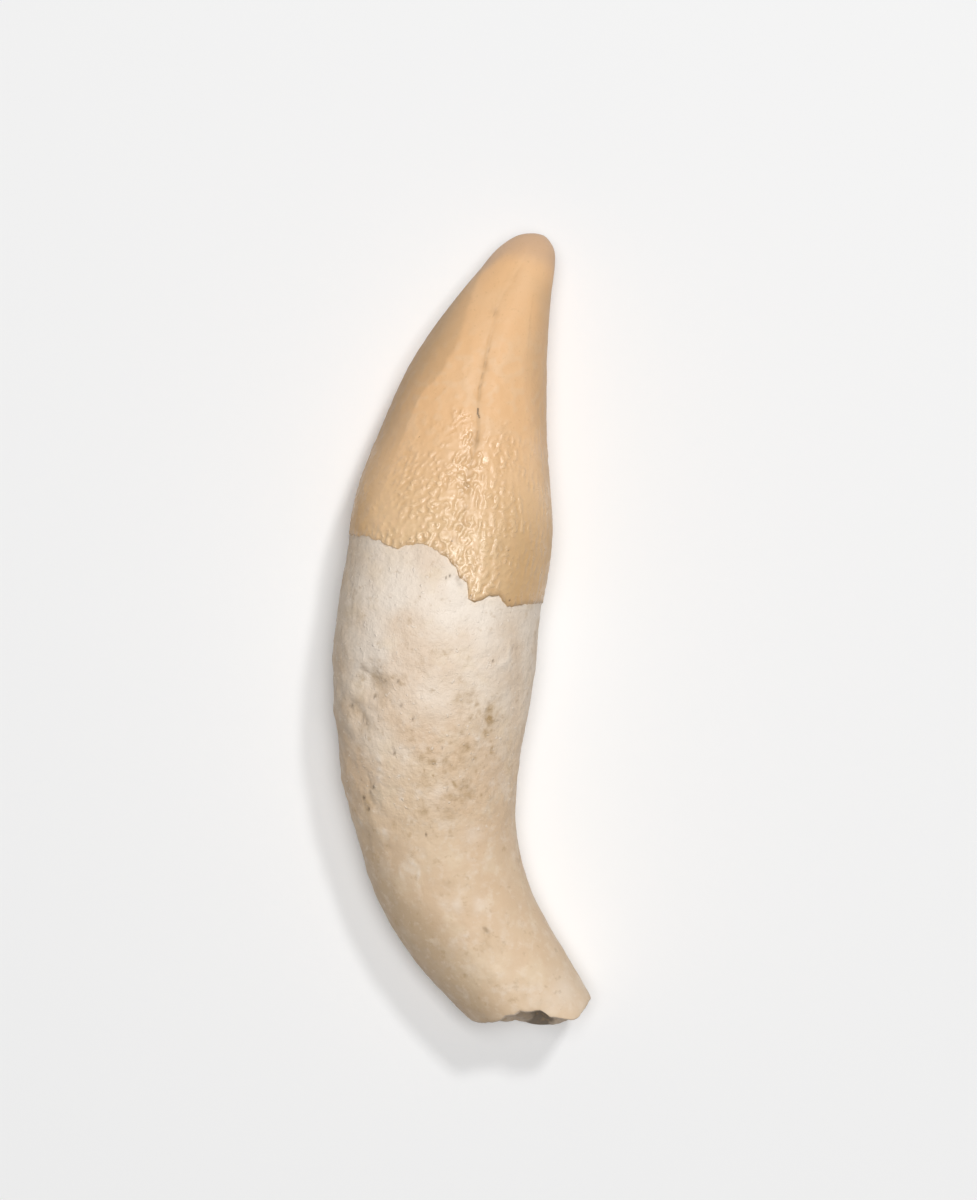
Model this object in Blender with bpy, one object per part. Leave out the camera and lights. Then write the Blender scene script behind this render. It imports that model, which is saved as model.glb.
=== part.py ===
"""A fossil dolphin tooth at its real size, lying on its side on a small flat spot.

+Y runs along the tooth towards the tip of its crown, +X points to the hollow side of its bend
and +Z is up. The origin is under the middle of the tooth, on the surface that it rests on.
Enamel, dentine and cement grew together, so the tooth is one solid and one object.
"""

import math

import bmesh
import bpy
import numpy as np

NAME = "tooth"
MM = 0.001  # one millimetre in metres; sizes below are in millimetres

# The outline seen from above, as (distance below the tip, back edge, hollow edge). The edges are
# distances to the right of the middle of the tooth, and run on as if the root weren't broken.
OUTLINE = (
    (0.0, 3.3, 5.8),  # tip, before its dome is rounded
    (1.5, 1.7, 5.85),  # foot of the dome
    (3.6, -0.1, 5.6),
    (7.3, -2.8, 5.35),
    (12.3, -5.25, 5.3),  # middle of the crown
    (16.7, -6.8, 5.6),
    (19.5, -7.25, 5.65),  # widest part of the crown
    (22.9, -7.75, 5.1),  # neck
    (27.9, -8.15, 4.5),  # widest part of the root
    (31.7, -7.85, 3.8),
    (35.4, -7.3, 3.35),  # waist
    (39.2, -6.3, 3.65),
    (42.9, -4.85, 5.15),
    (46.1, -2.65, 7.05),
    (48.0, -0.95, 8.15),
    (50.4, 1.6, 9.5),  # past the break
)
DOME = 1.35  # depth of the rounded tip

# The thickness from the underside up, as (distance below the tip, thickness)
THICKNESS = (
    (0.0, 2.9),
    (3.6, 5.1),
    (7.3, 7.2),
    (12.3, 9.2),
    (19.0, 11.0),
    (25.0, 11.3),
    (31.7, 10.5),
    (39.2, 8.7),
    (46.0, 7.5),
    (50.4, 7.0),
)

# How the underside lies: flat in the middle, lifting gently to both ends
FLAT_SPOT_DEPTH = 0.25  # how far the belly is worn away to a plane
CROWN_LIFT = 2.2  # height of the underside at the tip
CROWN_LIFT_FROM = 15.0  # distance below the tip where the crown starts to lift
ROOT_LIFT = 0.6  # height of the underside at the break
ROOT_LIFT_FROM = 36.0

# Two lines round the tooth, as (turn in degrees, distance below the tip). The turn is 0 on the
# hollow side, 90 on top, 180 on the back and 270 underneath.
ENAMEL_EDGE = (
    (0, 23.15),
    (20, 23.2),
    (37, 23.3),
    (46, 23.45),
    (56, 22.85),
    (66, 23.0),
    (73, 23.0),
    (78, 22.0),
    (84, 21.1),
    (90, 20.35),
    (99, 19.8),
    (107, 19.6),
    (119, 19.85),
    (135, 19.35),
    (160, 18.95),
    (180, 18.85),
    (220, 19.6),
    (270, 21.3),
    (320, 22.6),
)
BREAK_EDGE = (
    (0, 47.6),
    (25, 47.75),
    (38, 48.2),
    (51, 48.7),
    (74, 48.75),
    (82, 48.5),
    (99, 48.5),
    (118, 48.85),
    (150, 49.3),
    (180, 49.2),
    (225, 49.7),
    (270, 50.0),
    (300, 49.3),
    (330, 48.0),
)
ENAMEL = 0.16  # how far the enamel stands proud of the root along its edge
ENAMEL_STEP = 0.1  # length of the slope from the enamel's edge down to the root
NECK_LENGTH = 3.0  # the root comes back to the outline over this distance
CREASE_TURN = 82  # the crease that runs down the crown, in degrees of turn
CREASE_HALF_WIDTH = 5.0
CREASE_DEPTH = 0.1
CREASE_FADE = 4.0  # distance below the tip where the crease has its full depth

# Worn hollows in the side of the root, as (turn, distance below the tip, radius, depth)
HOLLOWS = (
    (128, 27.4, 1.4, 0.28),
    (138, 29.8, 1.0, 0.18),
    (136, 34.9, 1.3, 0.22),
    (33, 27.8, 1.2, 0.12),
    (205, 39.0, 1.8, 0.2),
    (228, 26.0, 1.6, 0.15),
)
HOLLOW_SPREAD = 0.6  # share of its radius at which a hollow has lost about two thirds of its depth

BOWL_DEPTH = 0.9  # how far the broken face is hollowed
BOWL_ROUNDNESS = 1.6  # power of the bowl's curve; a cone has 1
PULP_SHARE = 0.36  # width of the pulp canal's mouth over the width of the break
PULP_DEPTH = 2.6
PULP_ROUNDNESS = 0.7  # power of the canal's curve
PULP_ACROSS = -0.35  # its place beside the middle of the break
PULP_UP = 0.1

# The mesh
TURNS = 64  # points round a ring
DOME_RINGS = 5
CROWN_RINGS = 27  # from the dome to the enamel's edge
ROOT_RINGS = 34  # from the enamel's edge to the break
ROOT_CROWDING = 1.1  # above 1 the rings of the root are closer together by the enamel
FACE_SHARES = (0.86, 0.68, 0.5, 0.36, 0.27, 0.15)  # rings on the broken face, as shares of its edge
LEVEL_CROWN = 8.0  # rings are level down to here, and then lean to follow the enamel's edge
SHARP_ANGLE = 40  # degrees between faces whose edge looks sharp

COLOUR = (0.62, 0.45, 0.30)  # linear, between the amber crown and the cream root
ROUGHNESS = 0.5


def smooth_curve(points):
    """The natural cubic spline through (place, value) points, as a function of the place."""
    x, y = np.array(points, float).T
    step = np.diff(x)
    rise = np.diff(y) / step
    bends = np.eye(len(x))
    for i in range(1, len(x) - 1):
        bends[i, i - 1 : i + 2] = step[i - 1], 2 * (step[i - 1] + step[i]), step[i]
    bend = np.linalg.solve(bends, np.concatenate([[0.0], 6 * np.diff(rise), [0.0]]))

    def curve(at):
        i = np.clip(np.searchsorted(x, at) - 1, 0, len(step) - 1)
        past = at - x[i]
        left = x[i + 1] - at
        arch = (bend[i] * left**3 + bend[i + 1] * past**3) / (6 * step[i])
        start = (y[i] / step[i] - bend[i] * step[i] / 6) * left
        end = (y[i + 1] / step[i] - bend[i + 1] * step[i] / 6) * past
        return arch + start + end

    return curve


def smooth_loop(points):
    """The smooth closed curve through (turn in degrees, value) points."""
    laps = [(turn + lap, value) for lap in (-360, 0, 360) for turn, value in points]
    return smooth_curve(laps)


def ease(share):
    """0 to 1, leaving 0 and reaching 1 gently."""
    share = np.clip(share, 0.0, 1.0)
    return share * share * (3 - 2 * share)


TURN = np.arange(TURNS) * 360 / TURNS
LENGTH = max(below for turn, below in BREAK_EDGE)
back_edge = smooth_curve([(below, back) for below, back, hollow in OUTLINE])
hollow_edge = smooth_curve([(below, hollow) for below, back, hollow in OUTLINE])
thickness = smooth_curve(THICKNESS)
enamel_edge = smooth_loop(ENAMEL_EDGE)(TURN)
break_edge = smooth_loop(BREAK_EDGE)(TURN)


def worn(below):
    """How deep the hollows are on a ring at these distances below the tip."""
    depth = np.zeros(TURNS)
    for turn, middle, radius, deepest in HOLLOWS:
        aside = np.radians((TURN - turn + 180) % 360 - 180) * thickness(middle) / 2
        depth += deepest * np.exp(-(aside**2 + (below - middle) ** 2) / (HOLLOW_SPREAD * radius) ** 2)
    return depth


def skin_ring(below, sunk=0.0):
    """A ring of the outside, at these distances below the tip, sunk in by a depth at each turn."""
    dome = np.sqrt(1 - np.clip(1 - below / DOME, 0, 1) ** 2)
    middle = (back_edge(below) + hollow_edge(below)) / 2
    half_width = (hollow_edge(below) - back_edge(below)) / 2 * dome
    half_height = thickness(below) / 2 * dome
    crown_lift = CROWN_LIFT * ease(1 - below / CROWN_LIFT_FROM)
    root_lift = ROOT_LIFT * ease((below - ROOT_LIFT_FROM) / (LENGTH - ROOT_LIFT_FROM))
    height = thickness(below) / 2 + crown_lift + root_lift - FLAT_SPOT_DEPTH
    turn = np.radians(TURN)
    across = middle + (half_width - sunk) * np.cos(turn)
    up = height + (half_height - sunk) * np.sin(turn)
    return np.stack([across, -below, np.maximum(up, 0.0)], axis=1)


def crown():
    """Rings from the tip to the enamel's edge."""
    dome = DOME * (1 - np.cos(np.linspace(0, math.pi / 2, DOME_RINGS + 1)[1:]))
    shaft = np.linspace(DOME, enamel_edge.mean(), CROWN_RINGS + 1)[1:]
    rings = []
    for level in np.concatenate([dome, shaft]):
        lean = max(0.0, (level - LEVEL_CROWN) / (enamel_edge.mean() - LEVEL_CROWN))
        below = level + lean * (enamel_edge - enamel_edge.mean())
        crease = CREASE_DEPTH * np.exp(-(((TURN - CREASE_TURN) / CREASE_HALF_WIDTH) ** 2))
        rings.append(skin_ring(below, crease * ease(level / CREASE_FADE)))
    return rings


def root():
    """Rings from just under the enamel's edge to the break."""
    rings = []
    for share in np.linspace(0, 1, ROOT_RINGS + 1) ** ROOT_CROWDING:
        top = enamel_edge + ENAMEL_STEP
        below = top + share * (break_edge - top)
        under_enamel = ENAMEL * (1 - ease((below - top) / NECK_LENGTH))
        rings.append(skin_ring(below, under_enamel + worn(below)))
    return rings


def broken_face(edge):
    """Rings from the edge of the break into the pulp canal, and the canal's end."""
    middle = edge.mean(axis=0) + (PULP_ACROSS, BOWL_DEPTH, PULP_UP)
    rings = []
    for share in (*FACE_SHARES, 0.0):
        ring = middle + (edge - middle) * share
        ring[:, 1] = middle[1] + (edge[:, 1] - middle[1]) * share**BOWL_ROUNDNESS
        ring[:, 1] += PULP_DEPTH * max(0.0, 1 - (share / PULP_SHARE) ** 2) ** PULP_ROUNDNESS
        rings.append(ring)
    return rings[:-1], rings[-1][0]


def edge_ring(mesh, points):
    """A closed ring of edges through the points."""
    corners = [mesh.verts.new(point) for point in points.tolist()]
    return [mesh.edges.new(pair) for pair in zip(corners, corners[1:] + corners[:1])]


def close_ring(mesh, ring, point):
    """A fan of faces from a ring to one point."""
    lid = bmesh.ops.contextual_create(mesh, geom=ring)["faces"]
    hub = bmesh.ops.poke(mesh, faces=lid)["verts"]
    hub[0].co = point


def make_tooth():
    """The tooth as a skin of rings, closed at the tip and at the end of the pulp canal."""
    outside = crown() + root()
    face, canal_end = broken_face(outside[-1])
    tip = skin_ring(np.zeros(TURNS))[0]
    corners = np.concatenate([*outside, [tip]])
    middle = (corners.min(axis=0) + corners.max(axis=0)) / 2
    middle[2] = 0.0

    mesh = bmesh.new()
    rings = [edge_ring(mesh, (ring - middle) * MM) for ring in outside + face]
    for upper, lower in zip(rings, rings[1:]):
        bmesh.ops.bridge_loops(mesh, edges=upper + lower)
    close_ring(mesh, rings[0], (tip - middle) * MM)
    close_ring(mesh, rings[-1], (canal_end - middle) * MM)
    bmesh.ops.recalc_face_normals(mesh, faces=mesh.faces)
    data = bpy.data.meshes.new(NAME)
    mesh.to_mesh(data)
    mesh.free()
    data.shade_smooth()
    data.set_sharp_from_angle(angle=math.radians(SHARP_ANGLE))
    tooth = bpy.data.objects.new(NAME, data)
    bpy.context.scene.collection.objects.link(tooth)
    return tooth


def fossil_material():
    """Mineralised tooth: one plain mean colour."""
    material = bpy.data.materials.new("fossil_tooth")
    material.use_nodes = True
    shader = material.node_tree.nodes["Principled BSDF"]
    shader.inputs["Base Color"].default_value = (*COLOUR, 1.0)
    shader.inputs["Roughness"].default_value = ROUGHNESS
    shader.inputs["Metallic"].default_value = 0.0
    return material


def main():
    for old in list(bpy.data.objects):
        bpy.data.objects.remove(old)
    tooth = make_tooth()
    tooth.data.materials.append(fossil_material())


main()
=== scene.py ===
"""A fossil dolphin tooth: the fine surface of its solid, on a pale stage in soft light.

The tooth lies on its side with the tip of its crown towards +Y and the hollow side of its bend
towards +X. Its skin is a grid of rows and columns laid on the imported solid. The rows run from the
tip to the middle of the broken end, and one of them follows the enamel's edge. The columns go
round the tooth: the turn of a column is 0 on the hollow side, 90 on top, 180 on the back and 270
underneath. A place on the skin is given as (turn, distance below the tip).
"""

import math

import bmesh
import bpy
import numpy as np
from bpy.props import FloatProperty, FloatVectorProperty, PointerProperty
from bpy.types import Operator, Panel, PropertyGroup
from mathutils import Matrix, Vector, noise
from mathutils.bvhtree import BVHTree


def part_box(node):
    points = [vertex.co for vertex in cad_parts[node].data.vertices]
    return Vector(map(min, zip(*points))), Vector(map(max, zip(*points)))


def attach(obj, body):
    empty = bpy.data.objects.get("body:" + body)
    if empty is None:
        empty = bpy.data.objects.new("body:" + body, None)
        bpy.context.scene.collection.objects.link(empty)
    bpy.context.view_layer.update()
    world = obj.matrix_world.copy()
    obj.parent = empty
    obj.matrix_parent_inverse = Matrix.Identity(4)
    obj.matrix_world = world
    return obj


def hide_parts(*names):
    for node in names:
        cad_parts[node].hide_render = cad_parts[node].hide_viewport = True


bl_info = {
    "name": "Fossil Dolphin Tooth",
    "version": (1, 0, 0),
    "blender": (4, 5, 0),
    "location": "3D View > Sidebar > Fossil Tooth",
    "description": "Models a fossil dolphin tooth with wrinkled enamel, and a stage for it",
    "category": "Add Mesh",
}

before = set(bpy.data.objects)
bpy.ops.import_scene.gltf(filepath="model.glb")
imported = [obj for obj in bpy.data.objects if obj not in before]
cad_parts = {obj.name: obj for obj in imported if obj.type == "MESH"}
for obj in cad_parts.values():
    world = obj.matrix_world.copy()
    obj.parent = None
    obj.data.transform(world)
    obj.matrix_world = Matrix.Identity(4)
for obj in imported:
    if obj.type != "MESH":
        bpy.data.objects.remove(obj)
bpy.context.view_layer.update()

SOLID = "tooth"
MM = 0.001  # metres in a millimetre; sizes in the tables and in the grid are in millimetres
LOW, HIGH = (np.array(corner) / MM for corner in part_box(SOLID))
TIP_Y = HIGH[1]
PI = math.pi

# The stage, in metres: the lamps face the middle of the tooth, and the camera looks straight down.
FLOOR_SIZE = 4.0
KEY_LAMP = ((0.17, 0.27, 0.48), 0.06)  # place and size
SOFT_LAMP = ((0.02, 0.03, 0.6), 0.25)
LAMP_TARGET = (0, 0, 0.005)
CAMERA_PLACE = (0.001715, 0.002, 0.21283)
CAMERA_LENS = 100  # in millimetres, as is the sensor
CAMERA_SENSOR = 36
CAMERA_CLIP = 0.01  # nothing nearer than this is seen

# The grid of the skin
COLUMNS = 264
CROWDING = 0.55  # how much closer the columns are on top than halfway down the sides
DOME = 1.35  # depth of the rounded tip, whose rows are spread along its curve
DOME_ROWS = 18
UPPER_ROWS = 34  # from there down to LEVEL_CROWN
LOWER_ROWS = 132  # from there to the enamel's edge
ROOT_ROWS = 154
LEVEL_CROWN = 8.0  # rows are level down to here, and then lean to follow the enamel's edge
LIP_STEPS = (0.02, 0.07, 0.14)  # rows added just under the enamel's edge
FACE_ROWS = 28
FACE_SHARES = 1 - np.linspace(0.1, 0.97, FACE_ROWS) ** 1.6  # their places, from middle to rim
RIM_START = 47.2  # a distance below the tip where the root is whole all round
RIM_ANGLE = math.radians(35)  # the least angle between faces that meet at the edge of the break
OUTER_SHARE = 0.7  # of the root's width, beyond which a sharp edge is the break's, not the canal's
RIM_GAP = 0.04  # how far short of the break's edge the skin's last row stays
RIM_ROUNDING = 3  # passes that round that edge
WHOLE_SHARE = 0.96  # of the way from the middle to the rim: the solid's face is measured up to here
RIM_SHARE = 0.93  # from here outwards the broken face rises to meet the rim
CHIP_SHARE = 0.75  # from here outwards it follows the chips of the rim
WELD = 0.002  # corners of the solid closer than this are one
CLEAR = 12.0  # a distance from the middle of the tooth that is outside it on every side
TIP_SLICES = (0.1, 0.4, 0.8)  # distances below the tip where the solid is measured near its end
SLICES = 60  # measured from the depth of DOME to LAST_SLICE
LAST_SLICE = 47.0
SLICES_END = 51.0  # the measures run on in a straight line to here
CENTRING = 3  # times that the middle of a slice is found, each time nearer
SMOOTH_ROWS = 46  # passes that even out the solid's facets, along the tooth
SMOOTH_TIP_ROWS = 16  # and there above LEVEL_CROWN
SMOOTH_COLUMNS = 38  # and round it

# The mesh's map, whose skin is this wide where the map is 1, with the scale per millimetre and the
# place of the broken face
MAP_WIDTH = 0.7
MAP_SCALE = 0.021
MAP_FACE = (0.86, 0.5)

# Turns of the crease, of the top, and of the middle of what shows of the tooth's right side
CREASE_TURN = 82
TOP_TURN = 90
RIGHT_TURN = 25

# The enamel's edge, as (turn, distance below the tip), like every line further down
EDGE_RADIUS = 6.2  # of the circle that the noise of this edge and of the break's is taken on
SCALLOPS = 0.13  # how far its small scallops reach
SCALLOP_SIZE = 0.45
ENAMEL_EDGE = (
    (0, 23.15), (20, 23.2), (39, 23.3), (45.5, 23.5), (52, 23.15), (56.5, 22.8), (63, 22.8),
    (67, 23.05), (71, 23.1), (74.5, 22.9), (75.5, 22.45), (77, 22), (81.5, 21.65), (84, 21.1),
    (87, 20.7), (90, 20.35), (94, 20.25), (99.5, 19.75), (107, 19.6), (114.5, 19.7), (119, 19.85),
    (123.5, 19.75), (135, 19.3), (147, 19.05), (160, 19), (180, 18.85), (200, 19.3), (220, 19.5),
    (235, 20.3), (250, 20.4), (262, 21.1), (280, 21.5), (292, 22.2), (320, 22.6), (340, 23.1),
)

# How much further down the break's edge reaches than the solid's, as (turn, distance)
BREAK_CHIPS = (
    (0, 0.42), (10, 0.46), (18, 0.49), (25, 0.52), (30, 0.47), (35, 0.42), (41, 0.41), (47, 0.37),
    (53, 0.31), (60, 0.13), (67, -0.03), (73, 0.05), (77, -0.2), (80, -0.12), (84, 0.03),
    (90, 0.05), (93, -0.04), (97, 0.06), (100, 0.13), (108, 0.08), (116, 0.25), (130, 0.15),
    (155, 0.08), (180, 0.06), (215, 0.08), (238, 0.09), (246, -0.03), (250, -0.15), (255, -0.05),
    (262, 0.1), (275, 0.22), (285, 0.3), (300, 0.36), (315, 0.36), (330, 0.28), (345, 0.16),
)
NOTCHES = 0.03  # how far its small notches reach
NOTCH_SIZE = 0.4

# Crown: the crease down its top, the dark dashes and smudges in it, the edge of the flat left
# flank, of the worn cap of the tip and of the shaded right side. A smudge is (turn, distance below
# the tip, radius, share).
CREASE = (
    (84, 1.6), (86, 3), (89.5, 4.4), (89.5, 5.1), (86.7, 6), (85.2, 7.6), (82.7, 9), (83.2, 9.9),
    (81.3, 11.5), (78.6, 12.6), (78.8, 13.5), (82, 15.1), (82.7, 16), (82, 17), (83.4, 17.8),
)
DASHES = (
    ((81.6, 11.3), (81.2, 11.6), (79.6, 11.85)), ((90.7, 5.1), (90.4, 5.45)),
    ((83.5, 7.55), (83.5, 7.85)), ((83.7, 8.4), (83.3, 8.65)), ((83.4, 9.1), (83.5, 9.4)),
    ((82.8, 9.8), (83.7, 10.05)), ((79, 12.7), (79.4, 13.3)), ((82.4, 15.75), (82.8, 16.05)),
    ((81.5, 17.3), (82.6, 17.6)),
)
SMUDGES = (
    (79.4, 13.3, 0.3, 0.7), (79.8, 12.8, 0.22, 0.5), (81.2, 15.5, 0.28, 0.4), (82.7, 16, 0.3, 0.6),
    (83.4, 8.6, 0.3, 0.4), (90.6, 5.2, 0.3, 0.5), (83, 18.4, 0.3, 0.4), (88, 19.3, 0.25, 0.5),
    (60, 19.8, 0.6, 0.3),
)
FLANK_EDGE = (
    (150, 1.6), (145, 2.3), (134, 3.65), (117, 5.7), (113.5, 7.2), (117, 9), (127, 10.4),
    (129.6, 11.4), (130, 12.7), (132.4, 13.9), (133.4, 15), (134.5, 16), (140, 17.4),
)
CAP_EDGE = ((0, 2.6), (46, 2.05), (91, 1.5), (120, 1.65), (140, 2.4), (180, 2.9), (270, 2.2))
SHADED_EDGE = ((56, 2.6), (54, 3.4), (44.5, 8.8), (38, 10.9), (33, 12.6), (28, 15.7), (22, 19.0))

# Bumps and dents, as (turn, distance below the tip, radius, height)
CROWN_BUMPS = (
    (150, 0.25, 1, 0.13), (171, 0.8, 1.7, 0.15), (20, 0.2, 0.5, 0.06), (143, 17.5, 0.45, 0.09),
    (132, 18.5, 0.4, 0.08), (138, 18.1, 0.3, 0.05), (155, 16.2, 0.6, 0.08), (150, 18.3, 0.5, 0.07),
    (122, 18.9, 0.35, 0.05),
)
CROWN_PITS = (
    (118, 13, 0.09, -0.04), (88.7, 19.45, 0.12, -0.06), (55, 20, 0.1, -0.05),
    (112.4, 19.3, 0.12, -0.05), (73, 22.75, 0.14, -0.06), (47.6, 23.05, 0.16, -0.07),
    (148, 11.3, 0.1, -0.04),
)
ROOT_BUMPS = (
    (143, 28.3, 0.8, 0.11), (146, 30.65, 0.75, 0.12), (132, 31.6, 0.9, 0.08), (150, 26, 0.8, 0.08),
    (122, 26.2, 1.2, 0.07), (134, 33.4, 0.8, 0.06), (121, 30, 1.3, 0.05), (122.3, 32.7, 0.22, 0.06),
    (122.5, 33.35, 0.18, 0.05), (124, 33.95, 0.16, 0.05), (120.5, 27.3, 0.2, 0.05),
    (132.5, 27.65, 0.2, 0.05), (150.7, 36.7, 0.22, 0.06), (126.7, 37.2, 0.2, 0.05),
    (109.3, 35.2, 0.18, 0.04), (155.4, 21.1, 0.2, 0.04), (60, 31.4, 0.25, 0.04),
    (30, 24.9, 0.2, 0.03),
)
ROOT_DENTS = (
    (127, 28, 0.95, -0.2), (134, 27.4, 0.5, -0.07), (118.5, 28.3, 0.6, -0.08),
    (136, 30.25, 0.6, -0.14), (141, 29.5, 0.4, -0.06), (130.5, 30.6, 0.35, -0.07),
    (132, 34.4, 0.4, -0.07), (135.4, 35.3, 0.5, -0.14), (141.7, 35.8, 0.3, -0.08),
    (125, 38.6, 1, -0.05), (66.5, 32.15, 0.3, -0.05), (53, 30.2, 0.5, -0.05),
    (66, 34.6, 0.4, -0.05), (88, 33, 0.35, -0.04), (92, 34, 0.3, -0.03),
)
# Pores and pale rings are (turn, distance below the tip, radius), and stains and pale patches have
# a share as well. Cracks, the lip of a chip and the worn strip are lines.
PORES = (
    (109.3, 27.9, 0.13), (107.1, 29.48, 0.14), (124.9, 28.85, 0.13), (109.3, 30.52, 0.1),
    (100, 30.3, 0.08), (111.6, 32.4, 0.13), (82, 32, 0.08), (79.3, 32.4, 0.08), (96, 37.4, 0.09),
    (78.6, 34.65, 0.08), (88.8, 21.67, 0.09), (86.9, 21.54, 0.1), (84.6, 21.45, 0.09),
    (55.1, 26.7, 0.1), (37.2, 25.9, 0.1), (141.7, 35.2, 0.18), (138.5, 35.9, 0.16),
    (131, 34.5, 0.16), (145, 29.5, 0.14), (132.4, 30.55, 0.14), (120, 27, 0.12),
)
ROOT_CRACKS = (
    ((135.8, 27.1), (132.5, 27.25), (129.5, 27.5)), ((133.5, 33.8), (133.3, 34.4), (134.8, 34.9)),
    ((113.2, 31.8), (112.4, 32.1), (111.6, 32.4)), ((83.5, 21.3), (82, 21.9), (79.5, 22.2)),
    ((78.6, 43.2), (77.5, 43.5)),
)
# Those at turns 117 to 140, 27 to 36 below the tip, lie in the root's left dents: painted shade
STAINS_AND_DENT_SHADE = (
    (69.9, 28.8, 0.5, 0.55), (53, 29.6, 0.5, 0.8), (52.3, 30.4, 0.45, 1), (54, 31.1, 0.35, 0.8),
    (52.5, 30.9, 0.9, 0.35), (70.5, 30.9, 0.3, 0.55), (61, 30.9, 0.5, 0.35),
    (67.6, 32.1, 0.4, 0.75), (69, 32.3, 0.5, 0.4), (79, 32.7, 0.3, 0.6), (76.5, 33.1, 0.3, 0.6),
    (66, 34.5, 0.45, 0.8), (80, 35.9, 0.4, 0.5), (47.6, 32.3, 0.22, 0.9), (94, 32.6, 0.3, 0.8),
    (88, 32.9, 0.3, 0.8), (92, 34, 0.35, 0.5), (65.5, 34.6, 0.5, 0.7), (46, 35.1, 0.3, 0.4),
    (94, 35.9, 0.4, 0.6), (77.5, 35.1, 0.45, 0.5), (77, 36.1, 0.5, 0.45), (133, 27.3, 0.7, 0.35),
    (124.5, 27.7, 0.9, 0.6), (117.5, 28.3, 0.5, 0.35), (140, 29.5, 0.5, 0.4), (132, 30.5, 0.5, 0.4),
    (136, 35.2, 0.9, 0.4), (90, 30.2, 0.4, 0.15), (83, 44.2, 0.35, 0.4), (79, 43.4, 0.25, 0.5),
    (98, 46.4, 0.4, 0.35), (90, 40.4, 0.35, 0.3), (76, 48, 0.7, 0.2),
)
# Those at (143, 28.3) and (146, 30.65) sit on two of the root's bumps: painted highlights
PALE_PATCHES_AND_HIGHLIGHTS = (
    (60, 24.6, 2.2, 0.8), (115, 21.8, 2.4, 1), (95, 23.5, 2.2, 0.6), (88, 29.3, 1.6, 0.5),
    (143, 28.3, 0.7, 0.35), (146, 30.65, 0.6, 0.45), (48, 26.8, 0.5, 0.9), (62.8, 37.4, 0.7, 0.45),
    (72.9, 41.75, 0.6, 0.45), (90, 41.75, 0.5, 0.6), (98.5, 41.7, 0.45, 0.4), (78, 47.9, 0.7, 0.2),
    (64, 47.7, 0.8, 0.4), (44, 47.2, 1.4, 0.6), (124, 24.8, 1.8, 0.5), (86, 35.2, 1.2, 0.3),
    (54, 47.9, 0.6, 0.35),
)
RINGS = ((115.6, 39.7, 0.65), (92.0, 43.9, 0.42))
# The chip's lip is raised, and painted pale along it as a painted highlight
CHIP_LIP = ((52.3, 27.05), (47.6, 26.9), (44.8, 26.6), (44.2, 26.0))
WORN_STRIP = ((36.5, 26.2), (34, 27.9), (30, 30.0))


def ease(value, start, end):
    """0 up to the start and 1 from the end on, with a gentle rise between them."""
    share = np.clip((value - start) / (end - start), 0.0, 1.0)
    return share * share * (3 - 2 * share)


def fade(value, start, end):
    """1 up to the start and 0 from the end on, with a gentle fall between them."""
    return ease(-value, -end, -start)


def lumps(points, size, octaves, seed):
    """Smooth noise of about -1 to 1 at these points, with lumps of this size.

    The seed moves the points to another part of the noise.
    """
    places = (points.reshape(-1, 3) / size + seed).tolist()
    values = [noise.fractal(place, 1.0, 2.0, octaves) for place in places]
    return np.array(values).reshape(points.shape[:-1])


def around(values):
    """The next and the last column's values, for every column."""
    return np.roll(values, -1, axis=1), np.roll(values, 1, axis=1)


def blurred(values, passes):
    """A grid that is closed round the tooth, evened out along both ways."""
    for _ in range(passes):
        after, before = around(values)
        values = (after + 2 * values + before) / 4
        padded = np.concatenate([values[:1], values, values[-1:]])
        values = (padded[:-2] + 2 * values + padded[2:]) / 4
    return values


def from_turn(turn, middle):
    """How far a turn is from another, the short way round."""
    return np.abs((turn - middle + 180) % 360 - 180)


def bell(distance, width):
    """1 at no distance, fading out smoothly beyond this width."""
    return np.exp(-((distance / width) ** 2))


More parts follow.
